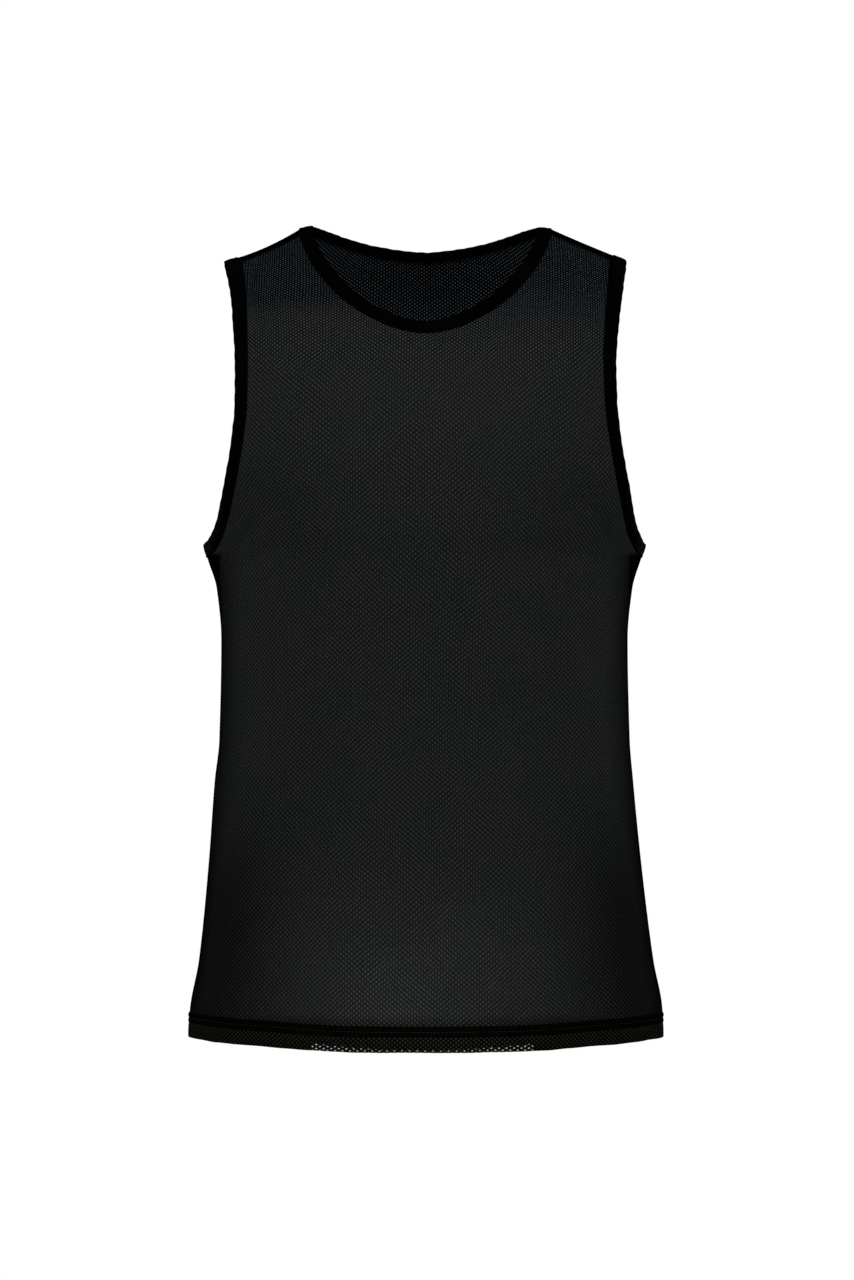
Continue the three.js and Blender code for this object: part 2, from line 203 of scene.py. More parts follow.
# %% [markdown]
# ## Folds and creases
# Net is springy, so it hangs in a few soft folds. A cloth simulation would find folds in
# other places than the real ones, so each is placed one by one. The long ones are the frame's:
# a soft trough or ridge whose line leans. The small creases run between two points and fade
# at both ends: drag lines at the underarms, a slack ripple over the hem, and the pull of
# the tapes at the neck.

# %% Folds and creases
FOLD_FADE, CREASE_LEAN = 0.6, 0.8

# Place across, the two heights, lean, half width and depth, which is inwards if negative
FOLDS = {
    "front": [
        (-128, -680, -380, 0.08, 26, -5.0), (139, -680, -420, -0.05, 22, -4.0),
        (-66, -680, -470, 0.02, 30, 2.6), (74, -680, -500, -0.03, 26, 2.2),
        (-150, -420, -230, 0.35, 17, -3.0), (152, -400, -240, -0.3, 15, -2.6),
    ],
    "back": [
        (-112, -680, -400, 0.05, 25, -5.0), (96, -680, -360, -0.06, 29, -5.5),
        (-14, -680, -440, 0.03, 32, 4.0), (8, -480, -180, 0.0, 40, -4.0),
        (-148, -410, -240, 0.3, 16, -2.8), (146, -430, -235, -0.34, 18, -3.0),
    ],
}

# One end (x, z), the other end, half width and depth
CREASES = {
    "front": [
        ((-172, -276), (-118, -214), 6.0, -1.5), ((-168, -292), (-104, -262), 7.5, 1.1),
        ((170, -278), (122, -206), 6.5, -1.4), ((166, -296), (108, -270), 7.0, 1.0),
        ((-146, -60), (-96, -104), 8.0, -1.2), ((148, -66), (102, -98), 9.0, -1.1),
        ((-60, -96), (-34, -156), 9.0, 0.9), ((64, -92), (44, -150), 10.0, 0.8),
        ((-96, -652), (-88, -560), 9.0, 1.3), ((-38, -656), (-30, -590), 10.0, -1.0),
        ((22, -654), (16, -575), 11.0, 0.9), ((58, -656), (60, -602), 8.0, -0.9),
        ((108, -655), (98, -570), 9.0, 1.2), ((-158, -640), (-148, -520), 9.0, -1.6),
        ((164, -640), (152, -530), 8.0, -1.5), ((-160, -470), (-60, -440), 15.0, -0.9),
        ((40, -396), (150, -372), 14.0, -0.8),
    ],
    "back": [
        ((-168, -280), (-112, -226), 7.0, -1.6), ((168, -282), (106, -220), 6.5, -1.5),
        ((-142, -52), (-88, -96), 9.0, -1.2), ((144, -58), (84, -88), 9.5, -1.2),
        ((-120, -150), (-30, -176), 13.0, 1.0), ((28, -182), (126, -148), 12.0, 1.1),
        ((-70, -654), (-58, -560), 10.0, 1.3), ((-140, -650), (-128, -566), 9.0, -1.3),
        ((46, -655), (50, -585), 10.0, -1.0), ((134, -654), (120, -560), 9.0, 1.3),
        ((-150, -404), (-20, -380), 16.0, -1.1), ((20, -330), (140, -356), 15.0, -1.0),
    ],
}


def fold_depth(side, x, z):
    """The sum of the side's long folds. Each is a bell curve across its leaning line, and
    fades out at its ends, unless it runs into the hem."""
    total = np.zeros(np.broadcast(x, z).shape)
    for place, low, high, lean, width, depth in FOLDS[side]:
        across = np.exp(-(((x - place - lean * (z - low)) / width) ** 2))
        fade = (high - low) * FOLD_FADE
        along = 1 - smooth_step(high - fade, high, z)
        foot = 1.0 if low < HEM_BOTTOM else smooth_step(low, low + fade, z)
        total = total + depth * across * along * foot
    return total


def crease_depth(side, x, z):
    """The sum of the side's small creases. Each is a bell curve across a straight line, times
    a half sine wave along it, which leans towards its first end."""
    total = np.zeros(np.broadcast(x, z).shape)
    for (x0, z0), (x1, z1), width, depth in CREASES[side]:
        length = np.hypot(x1 - x0, z1 - z0)
        ux, uz = (x1 - x0) / length, (z1 - z0) / length
        along = np.clip(((x - x0) * ux + (z - z0) * uz) / length, 0, 1)
        across = (x - x0) * uz - (z - z0) * ux
        wave = np.sin(np.pi * along**CREASE_LEAN)
        total = total + depth * np.exp(-((across / width) ** 2)) * wave
    return total


for side in FACING:
    print(side, "has", len(FOLDS[side]), "folds and", len(CREASES[side]), "creases")

# %% The cloth as one formula
SLOPE_STEP, SLOPE_REACH = 0.4, 0.995
FOLDS_RISE = 3


def unit(vectors):
    """The same directions, each one long."""
    return vectors / np.linalg.norm(vectors, axis=-1, keepdims=True)


def cloth_depth(side, x, z):
    """How far the cloth stands from the plane of the side seams: the centre depth times
    (1 - u^2.2)^crease, u being the share of the half width, plus the folds and creases, and
    all of it rounded over below the shoulder line by a quarter of an ellipse."""
    u = np.minimum(1, np.abs(x) / body_half(x, z))
    inside = 1 - u**SIDE_POWER
    across = inside ** section("crease", z)
    below = np.clip((roof_height(side, x) - z) / SHOULDER_ROUND, 0, 1)
    over = np.sqrt(1 - (1 - below) ** 2)
    soft = fold_depth(side, x, z) + crease_depth(side, x, z)
    depth = (section(side, z) * across + soft * np.minimum(1, FOLDS_RISE * inside)) * over
    return np.maximum(depth, SEAM_GAP / 2)


def cloth_slopes(side, x, z):
    """How fast the depth changes across and up, measured just inside the seams."""
    reach = body_half(x, z) * SLOPE_REACH
    px = np.clip(x, -reach, reach)
    pz = np.minimum(z, roof_height(side, x) - 3 * SLOPE_STEP)
    h = SLOPE_STEP
    across = cloth_depth(side, px + h, pz) - cloth_depth(side, px - h, pz)
    up = cloth_depth(side, px, pz + h) - cloth_depth(side, px, pz - h)
    return across / (2 * h), up / (2 * h)


def cloth_points(side, x, z):
    """Places on the cloth, as rows of x, y, z."""
    return np.stack([x, FACING[side] * cloth_depth(side, x, z), z], -1)


def cloth_normals(side, x, z):
    """Unit normals that point out of the bib: the slopes turned round, and one step out."""
    across, up = cloth_slopes(side, x, z)
    return unit(np.stack([-across, np.full_like(across, FACING[side]), -up], -1))


middle = cloth_points("front", np.array([0.0]), np.array([-335.0]))[0]
print("middle of the front:", middle.round(1), "mm")

# %% [markdown]
# ## The grid of a panel
# Its columns run from the hem to the shoulder or the neck, crowded towards the side where
# the form turns fast, and they lean in with the armhole. Its rows are even up to the
# underarm. Above it they follow a quarter sine wave, which makes them close where the cloth
# rounds over the shoulder. The net runs on a little at the neck, into its tape's fold.

# %% Lay out the columns and rows
NECK_COLUMNS, STRAP_COLUMNS = 54, 34
BODY_ROWS, CHEST_ROWS = 128, 104
SIDE_CROWDING = 0.85 * np.pi / 2
NECK_CROWDING = 1.6
UNDER_HEM = 4.0
TOP_TRIES = 40
TUCK, TUCK_FROM, TUCK_RUN = 2.6, 0.88, 20.0


def crowd(u):
    """Maps 0..1 to 0..1, closer together near 1, as a sine wave does near its top."""
    return np.sin(u * SIDE_CROWDING) / np.sin(SIDE_CROWDING)


def both_sides(half):
    """A row from 0 up, with its mirror image before it."""
    return np.concatenate([-half[:0:-1], half])


def column_shares():
    """Shares of the reach at which the grid has a column. One is on each neck point, and
    they crowd towards it from inside, because the neck edge is steepest there."""
    neck = np.arcsin(NECK_HALF / SHOULDER_HALF * np.sin(SIDE_CROWDING)) / SIDE_CROWDING
    inner = neck * (1 - np.linspace(1, 0, NECK_COLUMNS + 1) ** NECK_CROWDING)
    outer = np.linspace(neck, 1, STRAP_COLUMNS + 1)[1:]
    return both_sides(crowd(np.concatenate([inner, outer])))


def on_strap(shares):
    """Which columns end at the shoulder seam, and not at the neck edge."""
    return np.abs(shares) * SHOULDER_HALF >= NECK_HALF - 0.01


def column_tops(side, shares):
    """The height where each column meets the shoulder seam or the neck edge. The column
    leans, so its top is found by going half way to the edge again and again."""

    def edge(x):
        return np.where(on_strap(shares), shoulder_height(x), neck_height(side, x))

    tops = edge(shares * SHOULDER_HALF)
    for _ in range(TOP_TRIES):
        tops = (tops + edge(shares * net_reach(shares, tops))) / 2
    return tops


def panel_places(side):
    """The x and z of every grid point, rows going up and columns going to the left side."""
    shares = column_shares()
    low = np.linspace(HEM_TOP - UNDER_HEM, UNDERARM, BODY_ROWS + 1)[:, None]
    rise = np.sin(np.linspace(0, np.pi / 2, CHEST_ROWS + 1)[1:])[:, None]
    high = UNDERARM + (column_tops(side, shares) - UNDERARM) * rise
    z = np.concatenate([low + 0 * shares, high])
    return shares * net_reach(shares + 0 * z, z), z


def tucked_places(side):
    """The same grid with the neck edge pushed up into the fold of its tape, by TUCK in the
    middle and by nothing at the neck points."""
    x, z = places[side]
    inside = 1 - smooth_step(TUCK_FROM, 1.0, np.abs(x[-1]) / NECK_HALF)
    return x, z + TUCK * inside * smooth_step(-TUCK_RUN, 0.0, z - z[-1])


places = {side: panel_places(side) for side in FACING}
net_places = {side: tucked_places(side) for side in FACING}
print("grid of a panel:", places["front"][0].shape)

# %% [markdown]
# ## The lie of the weave
# A pattern on x and z would stretch wherever the cloth turns away, but a net's cells keep
# their size. So each grid point gets its place on the flat cloth, in metres, as its UV. It
# is found by walking along the hem and up the column, and adding each step's part across
# the weave and its part along it. Over the shoulders the tapes pull the front's net
# straight, so its rows are drawn level there, and closer.

# %% Work out where each point lies on the flat cloth
CLOTH_MARGIN = 0.3

# The heights between which the weave comes to lie level, the guide column's share of the way
# to the side, how much closer its rows get, and the rows that give the slope above its top
LEVEL_FROM, GUIDE_PLACE, DRAWN_ROWS, GUIDE_END = (-125.0, -50.0), 0.8, 0.55, 20


def lengths_along(line):
    """The length of a line from its start to each of its points."""
    return np.append(0, np.cumsum(np.linalg.norm(np.diff(line, axis=0), axis=1)))


def weave_places(side, x, z):
    """The flat place of every grid point. Across is the level direction on the cloth, along
    is at a right angle to it, and each step up a column is split into the two."""
    points = cloth_points(side, x, z)
    across, up = cloth_slopes(side, x, z)
    facing = FACING[side]
    level = unit(np.stack([np.ones_like(across), facing * across, 0 * across], -1))
    lean = -across * up / (1 + across**2)
    rising = unit(np.stack([lean, facing * (across * lean + up), np.ones_like(up)], -1))
    start = lengths_along(points[0])
    start -= start[len(start) // 2]
    steps = np.diff(points, axis=0)

    def walked(direction):
        sums = np.cumsum((steps * direction[1:]).sum(-1), 0)
        return np.concatenate([0 * sums[:1], sums])

    return np.stack([(start + walked(level)) * MM + CLOTH_MARGIN, walked(rising) * MM], -1)


def pulled_level(side):
    """The flat places as the weave lies in use. Over the shoulders its columns go up, and
    its rows follow one guide column in the middle of the strap, and closer."""
    x, z = net_places[side]
    u, v = flat[side][..., 0], flat[side][..., 1]
    level = smooth_step(*LEVEL_FROM, z)
    below = np.argmin(np.abs(z - LEVEL_FROM[0]), axis=0)[None]
    x_below, u_below = (np.take_along_axis(grid, below, 0)[0] for grid in (x, u))
    upright = x * MM + np.interp(x, x_below, u_below - x_below * MM)
    guided = np.zeros_like(v)
    middle = v.shape[1] // 2
    for sign, half in ((-1, slice(None, middle)), (1, slice(middle, None))):
        guide = middle + sign * int(GUIDE_PLACE * middle)
        height, place = z[:, guide], v[:, guide]
        share = smooth_step(*LEVEL_FROM, height)
        closer = place + DRAWN_ROWS * np.cumsum(share * np.gradient(place))
        slope = np.diff(closer[[-GUIDE_END, -1]]) / np.diff(height[[-GUIDE_END, -1]])
        over = np.maximum(z[:, half] - height[-1], 0)
        guided[:, half] = np.interp(z[:, half], height, closer) + slope * over
    return np.stack([u + level * (upright - u), v + level * (guided - v)], -1)


flat = {side: weave_places(side, *net_places[side]) for side in FACING}
for side in FACING:
    print(side, "cut:", np.ptp(flat[side][..., 0]).round(3), np.ptp(flat[side][..., 1]).round(3))

# %% Put a grid into a mesh


def new_mesh(name, points, faces):
    """A smooth mesh over points in millimetres."""
    mesh = bpy.data.meshes.new(name)
    mesh.from_pydata((points.reshape(-1, 3) * MM).tolist(), [], faces)
    mesh.shade_smooth()
    return mesh


def grid_mesh(name, points, uv, round_rows=False, round_columns=False, flip=False):
    """A mesh of quads over a grid of points. A round direction joins its last line to its
    first, and then uv has one line more than points."""
    rows, columns = points.shape[:2]
    r = np.arange(rows - (not round_rows))[:, None]
    c = np.arange(columns - (not round_columns))[None]
    r1, c1 = (r + 1) % rows, (c + 1) % columns
    corners = [r * columns + c, r * columns + c1, r1 * columns + c1, r1 * columns + c]
    uv_corners = [uv[r, c], uv[r, c + 1], uv[r + 1, c + 1], uv[r + 1, c]]
    order = slice(None, None, -1 if flip else 1)
    mesh = new_mesh(name, points, np.stack(corners[order], -1).reshape(-1, 4).tolist())
    layer = mesh.uv_layers.new(name="cloth")
    layer.data.foreach_set("uv", np.stack(uv_corners[order], 2).ravel())
    return mesh


def grid_uv(down, along):
    """The flat places of a grid, in metres, from the millimetres down and along it."""
    return np.stack(np.broadcast_arrays(down, along), -1) * MM


def place_piece(name, mesh, material, slot, *nodes):
    """Puts a mesh into the scene as a piece of the bib, in place of the named solids."""
    mesh.materials.append(material)
    piece = bpy.data.objects.new(name, mesh)
    bpy.context.collection.objects.link(piece)
    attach(piece, "root")
    if nodes:
        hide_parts(*nodes)
    triangles = sum(len(face.vertices) - 2 for face in mesh.polygons)
    print(name, "has", triangles, "triangles")
    return piece


# %% [markdown]
# ## The net
# Warp-knit net has a small round hole in each cell, and the next row's holes sit between
# them. Cutting 60,000 holes would make a million faces, so they are in the material: half
# the sum of two crossed cosine waves peaks at the corners and the centre of each cell, and
# where it is high the net is open. The yarn is near black. A hole looks a little lighter,
# because light scatters between the layers, so it holds a faint haze besides the part that
# is seen through. Noise skews the weave, makes the holes uneven and shifts the haze's hue.
# At the top of the chest the yarn is darker and the haze, painted light, is brighter. Over
# the shoulders and high on the back shade is painted in: the yarn darker, the holes smaller
# and their haze lighter and bluer. Where seams close the holes, and where shade is painted
# beside them, the net is as dark as the tapes.

# %% Helpers for materials


def add_node(kind, inputs, tree=None, **settings):
    """A new node with its settings and inputs. An input is a number, a colour or a link.
    The node goes into the given tree, or else to where its links come from."""
    links = {k: v for k, v in inputs.items() if isinstance(v, bpy.types.NodeSocket)}
    tree = tree or next(iter(links.values())).id_data
    made = tree.nodes.new("ShaderNode" + kind)
    for name, value in settings.items():
        setattr(made, name, value)
    for name, value in inputs.items():
        if name in links:
            tree.links.new(value, made.inputs[name])
        else:
            made.inputs[name].default_value = value
    return made


def reckon(operation, *values, kind="Math"):
    """One sum on numbers or links."""
    return add_node(kind, dict(enumerate(values)), operation=operation).outputs[0]


def times(first, second):
    """The product of two numbers or links."""
    return reckon("MULTIPLY", first, second)


def ramp(value, low, high, to_low=0.0, to_high=1.0):
    """A soft step from to_low to to_high as the value goes from low to high."""
    inputs = {"Value": value, "From Min": low, "From Max": high}
    inputs |= {"To Min": to_low, "To Max": to_high}
    return add_node("MapRange", inputs, interpolation_type="SMOOTHSTEP").outputs[0]


def between(share, first, second):
    """The first number at share 0 and the second at share 1."""
    return add_node("Mix", {"Factor": share, "A": first, "B": second}).outputs["Result"]


def blend_colours(share, first, second, kind="MIX"):
    """The first colour at share 0. At share 1 the second, or their product by MULTIPLY."""
    inputs = {0: share, 6: first, 7: second}
    return add_node("Mix", inputs, data_type="RGBA", blend_type=kind).outputs[2]


def noise(vector, scale, detail, dimensions="2D", output="Fac"):
    """Smooth noise. Its scale is in features for each metre."""
    inputs = {"Vector": vector, "Scale": scale, "Detail": detail}
    return add_node("TexNoise", inputs, noise_dimensions=dimensions).outputs[output]


def cloth_uv(tree):
    """The place on the flat cloth, in metres."""
    return add_node("UVMap", {}, tree, uv_map="cloth").outputs["UV"]


def object_place(tree):
    """The place in the bib's own frame, in metres."""
    return add_node("TexCoord", {}, tree).outputs["Object"]


def split(vector):
    """The parts X, Y and Z of a vector."""
    return add_node("SeparateXYZ", {"Vector": vector}).outputs


def grey(level):
    """An even colour."""
    return (level,) * 3 + (1,)


def start_material(name, roughness, specular):
    """A material with one shader, whose plain numbers are set on the shader itself."""
    material = bpy.data.materials.new(name)
    material.use_nodes = True
    shader = material.node_tree.nodes["Principled BSDF"]
    shader.inputs["Roughness"].default_value = roughness
    shader.inputs["Specular IOR Level"].default_value = specular
    return material, material.node_tree, shader


def dress(shader, colour, height, strength, distance, alpha=None):
    """Gives a shader its colour, its relief, in metres, and its alpha if it has one."""
    inputs = {"Height": height, "Strength": strength, "Distance": distance}
    bump = add_node("Bump", inputs).outputs[0]
    for name, value in (("Base Color", colour), ("Normal", bump), ("Alpha", alpha)):
        if value is not None:
            shader.id_data.links.new(value, shader.inputs[name])


# %% The pattern of holes
WARP_SCALE, WARP_SIZE = 6.0, 0.010
STREAK_SCALE, SLACK_RANGE = 26.0, (0.40, 0.60)
COLUMN_PULL = 0.28


def hole_wave(uv, cell, streak, calm=0.0):
    """Half the sum of two waves that cross each other on the warped flat cloth: 1 in the
    middle of each hole, and -1 where four threads meet. cell is in millimetres. Slack
    threads weaken one wave, by up to the streak's share, and the holes line up along the
    other slant. Where calm is 1 both waves are alike. The warp pulls the cloth into
    columns, which darkens the yarn between them."""
    slow = noise(uv, WARP_SCALE, 1.0, output="Color")
    slow = reckon("SUBTRACT", slow, (0.5,) * 3, kind="VectorMath")
    warped = reckon("MULTIPLY_ADD", slow, (WARP_SIZE,) * 3, uv, kind="VectorMath")
    parts = split(warped)
    across = times(parts["X"], 2 * np.pi / (cell[0] * MM))
    along = times(parts["Y"], 2 * np.pi / (cell[1] * MM))
    rising = reckon("COSINE", reckon("ADD", across, along))
    falling = reckon("COSINE", reckon("SUBTRACT", across, along))
    slack = noise(uv, STREAK_SCALE, 3.0)
    share = ramp(slack, *SLACK_RANGE, 0.5 - streak / 2, 0.5 + streak / 2)
    share = between(calm, share, 0.5)
    rest = times(falling, reckon("SUBTRACT", 1.0, share))
    columns = reckon("COSINE", times(across, 2.0))
    crossed = reckon("MULTIPLY_ADD", rising, share, rest)
    return reckon("MULTIPLY_ADD", columns, COLUMN_PULL, crossed)


# %% Where seams close the holes, and where shade is painted
# Seam allowances close the net along its edges. The wider bands are painted shade: under the
# arms, beside the armhole tapes, along the front shoulder, along the low sides and above the hem.
ALLOWANCE, BESIDE_TAPE, AT_NECK = 5.0, 2.0, -2.0
BAND_BLUR = 1.5
SHOULDER_SEAM_AND_SHADE = {"front": 13.0, "back": 7.0}
UNDERARM_SHADE, UNDERARM_SHADE_RUN = 24.0, 62.0
ARMHOLE_SHADE, ARMHOLE_SHADE_RUN = 5.5, 95.0
LOW_SIDE_SHADE_FROM, LOW_SIDE_SHADE_HIGH, LOW_SIDE_SHADE = (40.0, 145.0), (-570.0, -420.0), 0.66
SIDE_SHADE_WIDTH, SIDE_SHADE = 70.0, 0.86
HEM_SHADOW_HEIGHT, HEM_SHADOW = 11.0, 0.55


def closed_share(side):
    """1 where the net is closed and its yarn is dark, and 0 elsewhere, by the distance
    on the flat cloth to the panel's edge. The turned-in edges of a seam or a tape lie behind
    the net and close its holes. The wider bands are painted shade: a wedge under each arm, a
    band beside each armhole tape towards the shoulder, the front shoulder's extra width, the
    sides and the low side corners below the underarm, and a strip just above the hem."""
    z = net_places[side][1]
    u, v = flat[side][..., 0] / MM, flat[side][..., 1] / MM
    to_side = np.minimum(u - u[:, :1], u[:, -1:] - u)
    # The band widens into painted shade under each arm, and beside each armhole tape towards the
    # shoulder
    near = 1 - np.clip((UNDERARM - z) / UNDERARM_SHADE_RUN, 0, 1)
    side_width = ALLOWANCE + UNDERARM_SHADE * near**1.5
    up = np.clip(1 + z / ARMHOLE_SHADE_RUN, 0, 1)
    side_width = np.where(z <= UNDERARM, side_width, BESIDE_TAPE + ARMHOLE_SHADE * up)
    # Along the front shoulder the seam's band is widened by painted shade
    top_width = np.where(on_strap(column_shares()), SHOULDER_SEAM_AND_SHADE[side], AT_NECK)
    side_seam_and_shade, by_top = (
        1 - smooth_step(width - BAND_BLUR, width + BAND_BLUR, distance)
        for width, distance in ((side_width, to_side), (top_width, v[-1:] - v))
    )
    # Painted shade in the low side corners, along the sides and just above the hem
    low_side_shade = 1 - smooth_step(*LOW_SIDE_SHADE_FROM, to_side)
    low_side_shade *= LOW_SIDE_SHADE * (1 - smooth_step(*LOW_SIDE_SHADE_HIGH, z))
    side_shade = SIDE_SHADE * (1 - smooth_step(0, SIDE_SHADE_WIDTH, to_side)) * (z <= UNDERARM)
    hem_shadow = HEM_SHADOW * (1 - smooth_step(0, HEM_SHADOW_HEIGHT, z - HEM_TOP))
    return np.max([side_seam_and_shade, by_top, low_side_shade, side_shade, hem_shadow], axis=0)


# %% The net's material
NET_CELL = {"front": (4.6, 3.95), "back": (5.1, 3.17)}
YARN, YARN_FIBRE = (0.0190, 0.0202, 0.0202, 1), (0.0282, 0.0298, 0.0298, 1)
# The second yarn tint is painted shade over the shoulders and high on the back; the third darkens
# the yarn where seams close the net and where shade is painted beside them
SHADE_YARN, CLOSED_AND_SHADED_YARN = (0.23, 0.29, 0.35, 1), (0.08, 0.08, 0.07, 1)
# At the top of the chest the yarn is darker and the haze, which is painted light, brighter
CRISP_FROM, CRISP_YARN, CRISP_HOLE_LIGHT = (-0.135, -0.075), grey(0.60), grey(1.32)
HAZE_GREEN, HAZE_PLAIN = (0.072, 0.090, 0.085, 1), (0.088, 0.087, 0.091, 1)
# The haze where shade is painted over the shoulders and high on the back: lighter and bluer
SHADE_HAZE = {"front": (0.108, 0.140, 0.162, 1), "back": (0.108, 0.164, 0.208, 1)}
HUE_SCALE, HUE_RANGE = 14.0, (0.42, 0.58)
HOLE_EDGE, SEEN_THROUGH = (0.05, 0.80), 0.018
# The second number shrinks the holes where shade is painted
STREAK, SHADE_CLOSER = 0.42, 0.24
UNEVEN_SCALE, UNEVEN_RANGE, UNEVEN = 260.0, (0.3, 0.7), 0.12
NET_FIBRES = 2600.0

# The heights between which shade is painted in, on the right and the left side
SHADE_FROM = {"front": ((-0.072, -0.047), (-0.095, -0.030)), "back": ((-0.21, -0.06),) * 2}
SIDE_BLEND = 0.02


def net_material(side):
    """Near-black yarn round hazy holes. The yarn stands up round each hole, and its fibres
    roughen it. At the chest's top the yarn is darker and the painted light in the holes
    brighter. Over the shoulders and high on the back shade is painted in: the yarn darker and
    bluer, the holes smaller, their haze lighter and bluer. Where a seam closes it, and where
    shade is painted beside the seams, it is as dark as the tapes."""
    material, tree, shader = start_material(f"{side} net", roughness=0.72, specular=0.0)
    uv, place = cloth_uv(tree), split(object_place(tree))
    # Painted shade over the shoulders and high on the back
    right, left = (ramp(place["Z"], *heights) for heights in SHADE_FROM[side])
    painted_shade = between(ramp(place["X"], -SIDE_BLEND, SIDE_BLEND), right, left)
    wave = hole_wave(uv, NET_CELL[side], STREAK, painted_shade)
    uneven = ramp(noise(uv, UNEVEN_SCALE, 2.0), *UNEVEN_RANGE, -UNEVEN, UNEVEN)
    shifted = reckon("ADD", wave, uneven)
    # Painted shade makes the holes smaller
    shifted = reckon("SUBTRACT", shifted, times(painted_shade, SHADE_CLOSER))
    # Where seams close the net, and where shade is painted beside them, the holes close and the
    # yarn goes dark
    closed = add_node("Attribute", {}, tree, attribute_name="closed").outputs["Fac"]
    open_share = reckon("SUBTRACT", 1.0, closed)
    hole = times(ramp(shifted, *HOLE_EDGE), open_share)
    fibre = noise(uv, NET_FIBRES, 3.0)
    yarn = blend_colours(fibre, YARN, YARN_FIBRE)
    # The top of the chest: darker yarn, and brighter painted light in the holes
    crisp = ramp(place["Z"], *CRISP_FROM)
    for share, tint in ((crisp, CRISP_YARN), (painted_shade, SHADE_YARN), (closed, CLOSED_AND_SHADED_YARN)):
        yarn = blend_colours(share, yarn, tint, "MULTIPLY")
    hue = ramp(noise(uv, HUE_SCALE, 2.0), *HUE_RANGE)
    haze = blend_colours(hue, HAZE_GREEN, HAZE_PLAIN)
    haze = blend_colours(crisp, haze, CRISP_HOLE_LIGHT, "MULTIPLY")
    haze = blend_colours(painted_shade, haze, SHADE_HAZE[side])
    alpha = reckon("MULTIPLY_ADD", hole, -SEEN_THROUGH, 1.0)
    relief = reckon("MULTIPLY_ADD", fibre, 0.25, ramp(shifted, 0.6, -0.4))
    dress(shader, blend_colours(hole, yarn, haze), relief, 0.5, 0.0004, alpha)
    return material


for side in FACING:
    points = cloth_points(side, *net_places[side])
    lie = pulled_level(side) if side == "front" else flat[side]
    mesh = grid_mesh(f"{side}_net", points, lie, flip=side == "back")
    share = mesh.attributes.new("closed", "FLOAT", "POINT")
    share.data.foreach_set("value", closed_share(side).ravel())
    place_piece(f"{side}_net", mesh, net_material(side), "net", f"{side}_panel")

# %% [markdown]
# ## The folded tapes
# A knitted tape is folded over the edge of the neck and of each armhole and sewn down. A
# bevelled curve would be round like a cord. So the outline of the folded tape, a flat loop,
# is drawn once and carried along the edge, turned to lie on the cloth at each station. It
# swells a little between its stitches. Round the neck its inner leaf is narrower, and the
# tape leans as the shoulders do.

# %% Carry an outline along an edge
BINDING_WALL, BINDING_WIDTH = 2.6, 11.0
BINDING_LEAN, LEAN_DEPTH = np.radians(20), 35.0
BINDING_STEP = 2.4
NORMAL_BLUR = 9.0


def close(values):
    """Values along a closed line, with the first again at the end."""
    return np.concatenate([values, values[:1]])


def even_loop(step, fit, line, *others):
    """A closed line and other values along it, at even steps whose number fit rounds. Then
    the length to each station, and the whole length."""
    lengths = lengths_along(close(line))
    wanted = np.linspace(0, lengths[-1], fit(lengths[-1] / step) + 1)[:-1]
    even = [
        np.stack([np.interp(wanted, lengths, part) for part in close(values).T], 1)
        for values in (line, *others)
    ]
    return *even, wanted, lengths[-1]


def blur_loop(values, width):
    """A running average round a closed line, by a bell curve of that many stations."""
    waves = np.fft.fft(values, axis=0)
    rate = np.fft.fftfreq(len(values))[:, None]
    return np.fft.ifft(waves * np.exp(-2 * (np.pi * rate * width) ** 2), axis=0).real


def loop_direction(line):
    """The direction of a closed line at each point, from the point before to the next."""
    return unit(np.roll(line, -1, axis=0) - np.roll(line, 1, axis=0))


def edge_frames(points, normals, step):
    """Three directions at each station of a closed edge: along it, out of the cloth's face,
    and across it into the opening, which is the side where the loop's centre lies."""
    along = loop_direction(points)
    face = blur_loop(normals, NORMAL_BLUR / step)
    face = unit(face - (face * along).sum(1, keepdims=True) * along)
    across = np.cross(along, face)
    towards = ((points.mean(0) - points) * across).sum(1, keepdims=True)
    return along, face, across * np.where(towards < 0, -1, 1)


# %% The edges of the net
neck_columns = slice(STRAP_COLUMNS, STRAP_COLUMNS + 2 * NECK_COLUMNS + 1)


def edge_cells(side, rows, columns):
    """Places and normals on a run of the panel's grid."""
    x, z = (grid[rows, columns] for grid in places[side])
    return cloth_points(side, x, z), cloth_normals(side, x, z)


def joined_loop(front_run, back_run):
    """A closed loop of two runs that share their ends, which lie on a seam. There the place
    and the normal are half way between the two panels'."""
    loop = []
    for front, back in zip(front_run, back_run):
        middles = (front[[0, -1]] + back[[0, -1]]) / 2
        loop.append(np.concatenate([middles[:1], front[1:-1], middles[1:], back[-2:0:-1]]))
    return loop[0], unit(loop[1])


armhole_rows = slice(BODY_ROWS, None)
EDGE_RUNS = {
    "neck": (-1, neck_columns),
    "right_armhole": (armhole_rows, 0),
    "left_armhole": (armhole_rows, -1),
}
edges = {
    name: joined_loop(edge_cells("front", *run), edge_cells("back", *run))
    for name, run in EDGE_RUNS.items()
}

